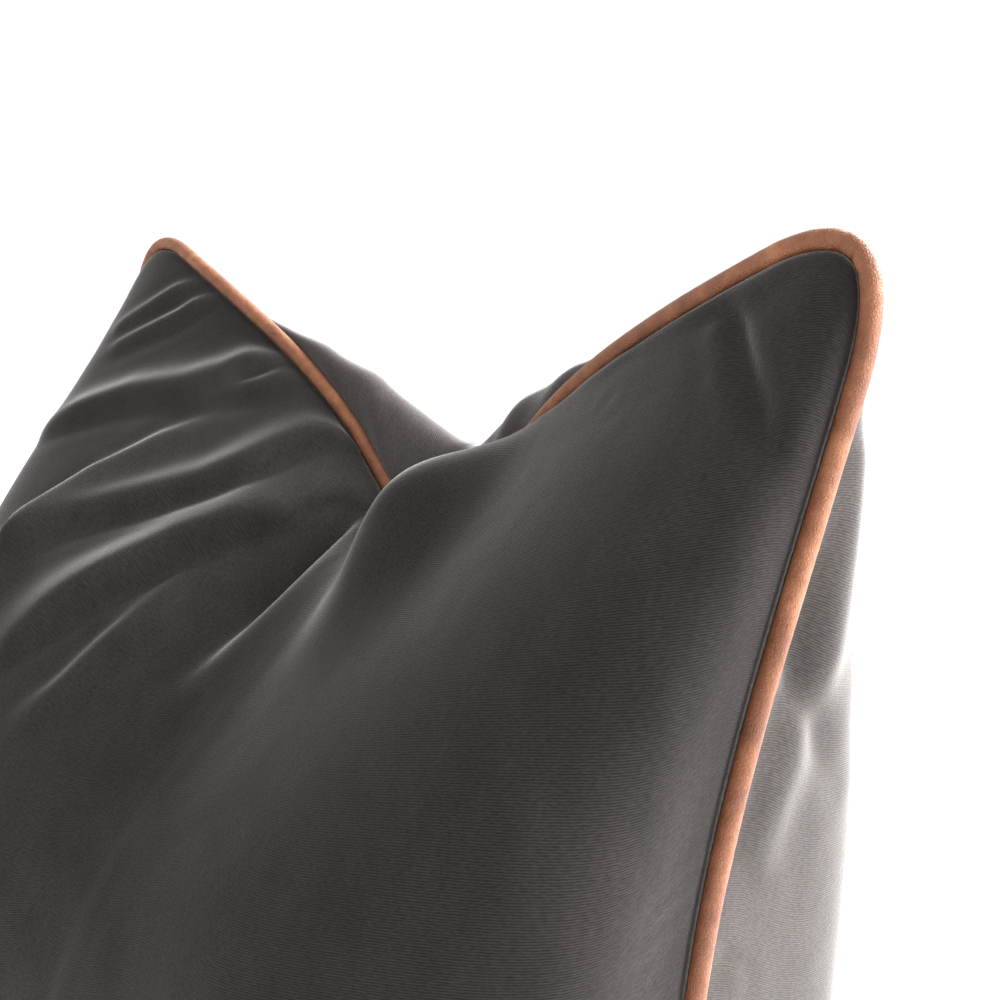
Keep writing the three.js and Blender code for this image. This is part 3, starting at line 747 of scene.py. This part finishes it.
def casing_mesh(name, outer, inner, seam, forward):
    """Half of the insert's cotton casing, as a thin closed sheet."""
    aside = np.array([0, forward * CASING / 2, 0])
    outside = closing(rim_points(outer), seam + aside)
    inside = closing(rim_points(inner), seam + aside * 3)
    return shell(name, outer, outside + inside[::-1], inner)


def fill_mesh(name, front, back, seam):
    over = closing(rim_points(front), seam)
    under = closing(rim_points(back), seam)
    return shell(name, front, over + under[-2::-1], back)


# ---------------------------------------------------------------- materials
def node(tree, kind, inputs=None, **settings):
    made = tree.nodes.new(kind)
    for key, value in settings.items():
        setattr(made, key, value)
    for key, value in (inputs or {}).items():
        if isinstance(value, bpy.types.NodeSocket):
            tree.links.new(value, made.inputs[key])
        else:
            made.inputs[key].default_value = value
    return made


def material(name, **sockets):
    made = bpy.data.materials.new(name)
    made.use_nodes = True
    shader = made.node_tree.nodes["Principled BSDF"]
    for key, value in sockets.items():
        shader.inputs[key.replace("_", " ")].default_value = value
    return made, made.node_tree, shader


def noise(tree, coords, scale, detail=4.0, roughness=0.55, stretch=None):
    if stretch is not None:
        coords = node(tree, "ShaderNodeMapping", {"Vector": coords, "Scale": stretch}).outputs["Vector"]
    values = {"Vector": coords, "Scale": scale, "Detail": detail, "Roughness": roughness}
    return node(tree, "ShaderNodeTexNoise", values).outputs["Fac"]


def ramp(tree, fac, *stops):
    made = node(tree, "ShaderNodeValToRGB", {"Fac": fac})
    elements = made.color_ramp.elements
    while len(elements) < len(stops):
        elements.new(0.5)
    for element, (position, color) in zip(elements, stops):
        element.position = position
        element.color = (*color, 1)
    return made.outputs["Color"]


def blend_colors(tree, kind, amount, first, second):
    made = node(tree, "ShaderNodeMix", data_type="RGBA", blend_type=kind)
    for key, value in (("Factor", amount), ("A", first), ("B", second)):
        socket = next(s for s in made.inputs if s.name == key and s.enabled)
        if isinstance(value, bpy.types.NodeSocket):
            tree.links.new(value, socket)
        else:
            socket.default_value = value
    return next(s for s in made.outputs if s.enabled)


def maths(tree, kind, first, second):
    made = node(tree, "ShaderNodeMath", {0: first, 1: second}, operation=kind)
    return made.outputs[0]


def bands(tree, coords, period, direction, distortion=0.6):
    """Fine threads a period apart."""
    values = {"Vector": coords, "Scale": math.pi / 10 / period, "Distortion": distortion, "Detail": 1.0,
              "Detail Scale": 0.6}
    return node(tree, "ShaderNodeTexWave", values, bands_direction=direction).outputs["Fac"]


def bump(tree, shader, height, distance, strength=1.0):
    made = node(tree, "ShaderNodeBump", {"Height": height, "Distance": distance, "Strength": strength})
    tree.links.new(made.outputs["Normal"], shader.inputs["Normal"])


def velvet(name, forward):
    """Short dark grey pile on a woven ground: it is dark face on and light where it is seen edge on."""
    made, tree, shader = material(name, Roughness=0.95, Specular_IOR_Level=0.15, Sheen_Roughness=0.32,
                                  Sheen_Weight=VELVET_SHEEN[forward], Sheen_Tint=(0.9, 0.86, 0.84, 1))
    cloth = node(tree, "ShaderNodeUVMap", uv_map="cloth").outputs["UV"]
    place_in_object = node(tree, "ShaderNodeTexCoord").outputs["Object"]
    brushed = noise(tree, place_in_object, 13, 3, 0.5, (1, 1, 0.7))
    strokes = noise(tree, place_in_object, 75, 5, 0.62, (1, 1, 0.45))
    rows = bands(tree, cloth, WEAVE, "Y")
    tufts = noise(tree, cloth, 1 / (1.4 * WEAVE), 2, 0.6, (0.5, 1.6, 1))
    fuzz = noise(tree, cloth, 1 / (0.35 * WEAVE), 2, 0.6)
    pile = maths(tree, "ADD", maths(tree, "MULTIPLY", brushed, 0.65), maths(tree, "MULTIPLY", strokes, 0.35))
    stops = ((0.36, (0.0188, 0.0166, 0.016)), (0.5, (0.0245, 0.0217, 0.021)), (0.66, (0.033, 0.0294, 0.0285)))
    # painted light: the back panel's tones are scaled lighter in its colour, for the light from behind
    color = ramp(tree, pile, *((at, [PAINTED_LIGHT_TONE[forward] * tone for tone in tones]) for at, tones in stops))
    weave = maths(tree, "ADD", maths(tree, "MULTIPLY", rows, 0.3), maths(tree, "MULTIPLY", tufts, 0.7))
    shade = ramp(tree, weave, (0.3, (0.55,) * 3), (0.7, (1.4,) * 3))
    color = blend_colors(tree, "MULTIPLY", 1.0, color, shade)
    tree.links.new(color, shader.inputs["Base Color"])
    height = maths(tree, "ADD", weave, maths(tree, "MULTIPLY", fuzz, 0.5))
    bump(tree, shader, height, 0.16 * MM, 0.8)
    return made


def leather():
    """Tan leather: mottled and finely grained."""
    made, tree, shader = material("leather", Roughness=0.5, Specular_IOR_Level=0.45, Sheen_Weight=0.05,
                                  Sheen_Roughness=0.5, Sheen_Tint=(1, 0.85, 0.7, 1))
    coords = node(tree, "ShaderNodeTexCoord").outputs["Object"]
    mottle = noise(tree, coords, 110, 5, 0.6)
    cloud = noise(tree, coords, 28, 3, 0.5)
    mixed = maths(tree, "ADD", maths(tree, "MULTIPLY", mottle, 0.6), maths(tree, "MULTIPLY", cloud, 0.4))
    color = ramp(tree, mixed, (0.36, (0.16, 0.05, 0.019)), (0.5, (0.235, 0.08, 0.031)),
                 (0.66, (0.36, 0.145, 0.064)))
    pores = node(tree, "ShaderNodeTexVoronoi", {"Vector": coords, "Scale": 1150}, feature="DISTANCE_TO_EDGE")
    pores = pores.outputs["Distance"]
    grain = noise(tree, coords, 650, 4, 0.6)
    lines = ramp(tree, pores, (0.0, (0.7,) * 3), (0.12, (1.0,) * 3))
    color = blend_colors(tree, "MULTIPLY", 0.55, color, lines)
    tree.links.new(color, shader.inputs["Base Color"])
    height = maths(tree, "ADD", maths(tree, "MULTIPLY", pores, 0.9), maths(tree, "MULTIPLY", grain, 1.1))
    rough = ramp(tree, grain, (0.3, (0.42,) * 3), (0.7, (0.62,) * 3))
    tree.links.new(rough, shader.inputs["Roughness"])
    bump(tree, shader, height, 0.35 * MM)
    return made


def woven(name, dark, light, thread, roughness=0.85):
    """Plain weave cotton: over and under threads of two tones."""
    made, tree, shader = material(name, Roughness=roughness, Sheen_Weight=0.2, Sheen_Roughness=0.5,
                                  Specular_IOR_Level=0.2)
    coords = node(tree, "ShaderNodeTexCoord").outputs["Object"]
    across = bands(tree, coords, thread, "X", 0.4)
    up = bands(tree, coords, thread, "Z", 0.4)
    threads = maths(tree, "MULTIPLY", across, up)
    slubs = noise(tree, coords, 240, 4, 0.6, (1, 1, 4))
    tone = maths(tree, "ADD", maths(tree, "MULTIPLY", threads, 0.6), maths(tree, "MULTIPLY", slubs, 0.5))
    tree.links.new(ramp(tree, tone, (0.2, dark), (0.7, light)), shader.inputs["Base Color"])
    bump(tree, shader, tone, thread / 4, 0.7)
    return made


def twisted_cotton():
    made, tree, shader = material("cotton_cord", Roughness=0.9, Sheen_Weight=0.3, Sheen_Roughness=0.5)
    coords = node(tree, "ShaderNodeTexCoord").outputs["Object"]
    fibres = noise(tree, coords, 900, 4, 0.65, (1, 1, 0.4))
    tree.links.new(ramp(tree, fibres, (0.3, (0.5, 0.45, 0.37)), (0.7, (0.76, 0.71, 0.62))),
                   shader.inputs["Base Color"])
    bump(tree, shader, fibres, 0.12 * MM)
    return made


def nylon():
    made, tree, shader = material("nylon_coil", Roughness=0.36, Specular_IOR_Level=0.5)
    coords = node(tree, "ShaderNodeTexCoord").outputs["Object"]
    wear = noise(tree, coords, 420, 3, 0.5)
    tree.links.new(ramp(tree, wear, (0.3, (0.032, 0.03, 0.029)), (0.7, (0.055, 0.052, 0.05))),
                   shader.inputs["Base Color"])
    tree.links.new(ramp(tree, wear, (0.3, (0.3,) * 3), (0.7, (0.45,) * 3)), shader.inputs["Roughness"])
    bump(tree, shader, wear, 0.03 * MM, 0.5)
    return made


def brass():
    """Antique brass: brown in its hollows, brighter where fingers and the tape rub it."""
    made, tree, shader = material("antique_brass", Metallic=1.0, Roughness=0.35)
    coords = node(tree, "ShaderNodeTexCoord").outputs["Object"]
    patina = noise(tree, coords, 380, 5, 0.6)
    scratches = noise(tree, coords, 900, 3, 0.6, (0.12, 1, 1))
    edges = node(tree, "ShaderNodeNewGeometry").outputs["Pointiness"]
    tone = ramp(tree, patina, (0.35, (0.2, 0.12, 0.05)), (0.65, (0.47, 0.31, 0.13)))
    bright = ramp(tree, edges, (0.5, (0, 0, 0)), (0.56, (1, 1, 1)))
    color = blend_colors(tree, "MIX", bright, tone, (0.72, 0.53, 0.27, 1))
    tree.links.new(color, shader.inputs["Base Color"])
    tree.links.new(ramp(tree, scratches, (0.3, (0.25,) * 3), (0.7, (0.5,) * 3)), shader.inputs["Roughness"])
    bump(tree, shader, scratches, 0.02 * MM, 0.6)
    return made


def down_fill():
    made, tree, shader = material("down_fill", Roughness=1.0, Sheen_Weight=0.4, Sheen_Roughness=0.6,
                                  Subsurface_Weight=0.1)
    coords = node(tree, "ShaderNodeTexCoord").outputs["Object"]
    clumps = noise(tree, coords, 60, 6, 0.7)
    wisps = noise(tree, coords, 700, 3, 0.7)
    both = maths(tree, "ADD", maths(tree, "MULTIPLY", clumps, 0.6), maths(tree, "MULTIPLY", wisps, 0.4))
    tree.links.new(ramp(tree, both, (0.3, (0.66, 0.65, 0.63)), (0.7, (0.86, 0.86, 0.85))),
                   shader.inputs["Base Color"])
    bump(tree, shader, both, 1.2 * MM)
    return made


def pale_paint():
    made, tree, shader = material("pale_floor", Roughness=0.8, Specular_IOR_Level=0.1)
    coords = node(tree, "ShaderNodeTexCoord").outputs["Object"]
    spread = noise(tree, coords, 3, 3, 0.5)
    tree.links.new(ramp(tree, spread, (0.3, (0.94,) * 3), (0.7, (0.96,) * 3)), shader.inputs["Base Color"])
    return made


# ---------------------------------------------------------------- studio
def floor():
    turn = np.linspace(0, 2 * math.pi, FLOOR_SIDES + 1)[:-1]
    rim = np.stack([FLOOR * np.cos(turn), FLOOR * np.sin(turn), 0 * turn], -1)
    mesh = bpy.data.meshes.new("floor")
    mesh.from_pydata(rim.tolist(), [], [list(range(len(turn)))])
    mesh.materials.append(pale_paint())
    made = bpy.data.objects.new("floor", mesh)
    bpy.context.scene.collection.objects.link(made)
    made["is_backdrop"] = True


def look_from(made, turn, tilt):
    turn, tilt = math.radians(turn), math.radians(tilt)
    back = Vector((math.sin(turn) * math.cos(tilt), -math.cos(turn) * math.cos(tilt), math.sin(tilt)))
    made.rotation_mode = "QUATERNION"
    made.rotation_quaternion = (-back).to_track_quat("-Z", "Y")
    return back


def softbox(name, turn, tilt, distance, size, power):
    data = bpy.data.lights.new(name, "AREA")
    data.shape = "RECTANGLE"
    data.size, data.size_y = size
    data.energy = power
    made = bpy.data.objects.new(name, data)
    bpy.context.scene.collection.objects.link(made)
    made.location = look_from(made, turn, tilt) * distance + Vector((0, SEAM_Y, EAR_HEIGHT / 2))


def studio():
    floor()
    for each in SOFTBOXES:
        softbox(*each)
    world = bpy.data.worlds.new("studio")
    world.use_nodes = True
    world.node_tree.nodes["Background"].inputs["Color"].default_value = (1, 1, 1, 1)
    world.node_tree.nodes["Background"].inputs["Strength"].default_value = WORLD
    bpy.context.scene.world = world
    bpy.context.scene.view_settings.view_transform = "Standard"


def camera():
    data = bpy.data.cameras.new("camera")
    data.sensor_width = 36
    data.lens = FOCAL * data.sensor_width
    data.clip_start = 0.01
    made = bpy.data.objects.new("camera", data)
    bpy.context.scene.collection.objects.link(made)
    look_from(made, CAMERA_TURN, CAMERA_TILT)
    made.location = Vector((EAR_HALF, LEAN + SEAM_Y, EAR_HEIGHT)) + CAMERA_FROM_EAR
    bpy.context.scene.camera = made


# ---------------------------------------------------------------- assembly
def build_cover(stations, cloths):
    for name, forward in (("front", -1), ("back", 1)):
        mesh = panel_mesh(f"{name}_panel", stations, cloths[forward], forward)
        # the back's velvet is a lighter copy of the front's: painted light from behind
        finish = velvet(f"velvet_{name}", forward)
        made = place(f"{name}_velvet", mesh, "cover", [f"{name}_panel"], finish)


def build_piping():
    fine = seam_stations(PIPING_CELLS)
    place("leather_piping", piping_mesh(fine), "cover", ["piping_leather"], leather())
    place("piping_core", cord_mesh(fine), "cover", ["piping_cord"], twisted_cotton())


def build_zip():
    tape_cloth = woven("zip_tape_weave", (0.03, 0.028, 0.027), (0.075, 0.07, 0.067), TAPE_THREAD)
    coil, metal = nylon(), brass()
    for half in ("front", "back"):
        tape_node, coil_node = f"zip_tape_{half}", f"zip_coil_{half}"
        place(f"tape_{half}", tape_mesh(tape_node), "cover", [tape_node], tape_cloth)
        place(f"coil_{half}", coil_mesh(coil_node), "cover", [coil_node], coil)
    bodies = {"zip_slider": "slider", "zip_pull": "pull"}
    for name in ("zip_top_stop_front", "zip_top_stop_back", "zip_bottom_stop", "zip_slider", "zip_pull"):
        body = bodies.get(name, "cover")
        place(name.replace("zip_", "metal_"), softened_copy(name), body, [name], metal)


def build_insert(cloths):
    cotton = woven("casing_cotton", (0.62, 0.6, 0.56), (0.84, 0.82, 0.78), CASING_THREAD)
    layers = []
    for depth in (CASING_DEPTH, CASING_DEPTH + CASING, FILL_DEPTH):
        layer = {forward: envelope(cloth, forward, depth, CASING_TRIM) for forward, cloth in cloths.items()}
        layers.append(layer)
    seam = insert_seam(layers[0][-1], layers[0][1], ZIP_ROOM)
    for name, forward in (("front", -1), ("back", 1)):
        mesh = casing_mesh(f"casing_{name}", layers[0][forward], layers[1][forward], seam, forward)
        node_name = f"insert_casing_{name}"
        made = place(f"inner_casing_{name}", mesh, "cover", [node_name], cotton)
    front, back = (layers[2][forward][1:-1, 1:-1] for forward in (-1, 1))
    fill = fill_mesh("fill", front, back, insert_seam(front, back, ZIP_ROOM + FILL_ABOVE_CASING))
    made = place("inner_fill", fill, "cover", ["insert_fill"], down_fill())


stations = seam_stations(CELLS)
cloths = {forward: panel(forward, folds, seed)
          for forward, folds, seed in ((-1, FRONT_FOLDS, 3), (1, BACK_FOLDS, 7))}
camera()
studio()
build_cover(stations, cloths)
build_piping()
build_zip()
build_insert(cloths)
sizes = {"cad": cad_box, "visual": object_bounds()}
{key: [list(corner) for corner in box] for key, box in sizes.items()}
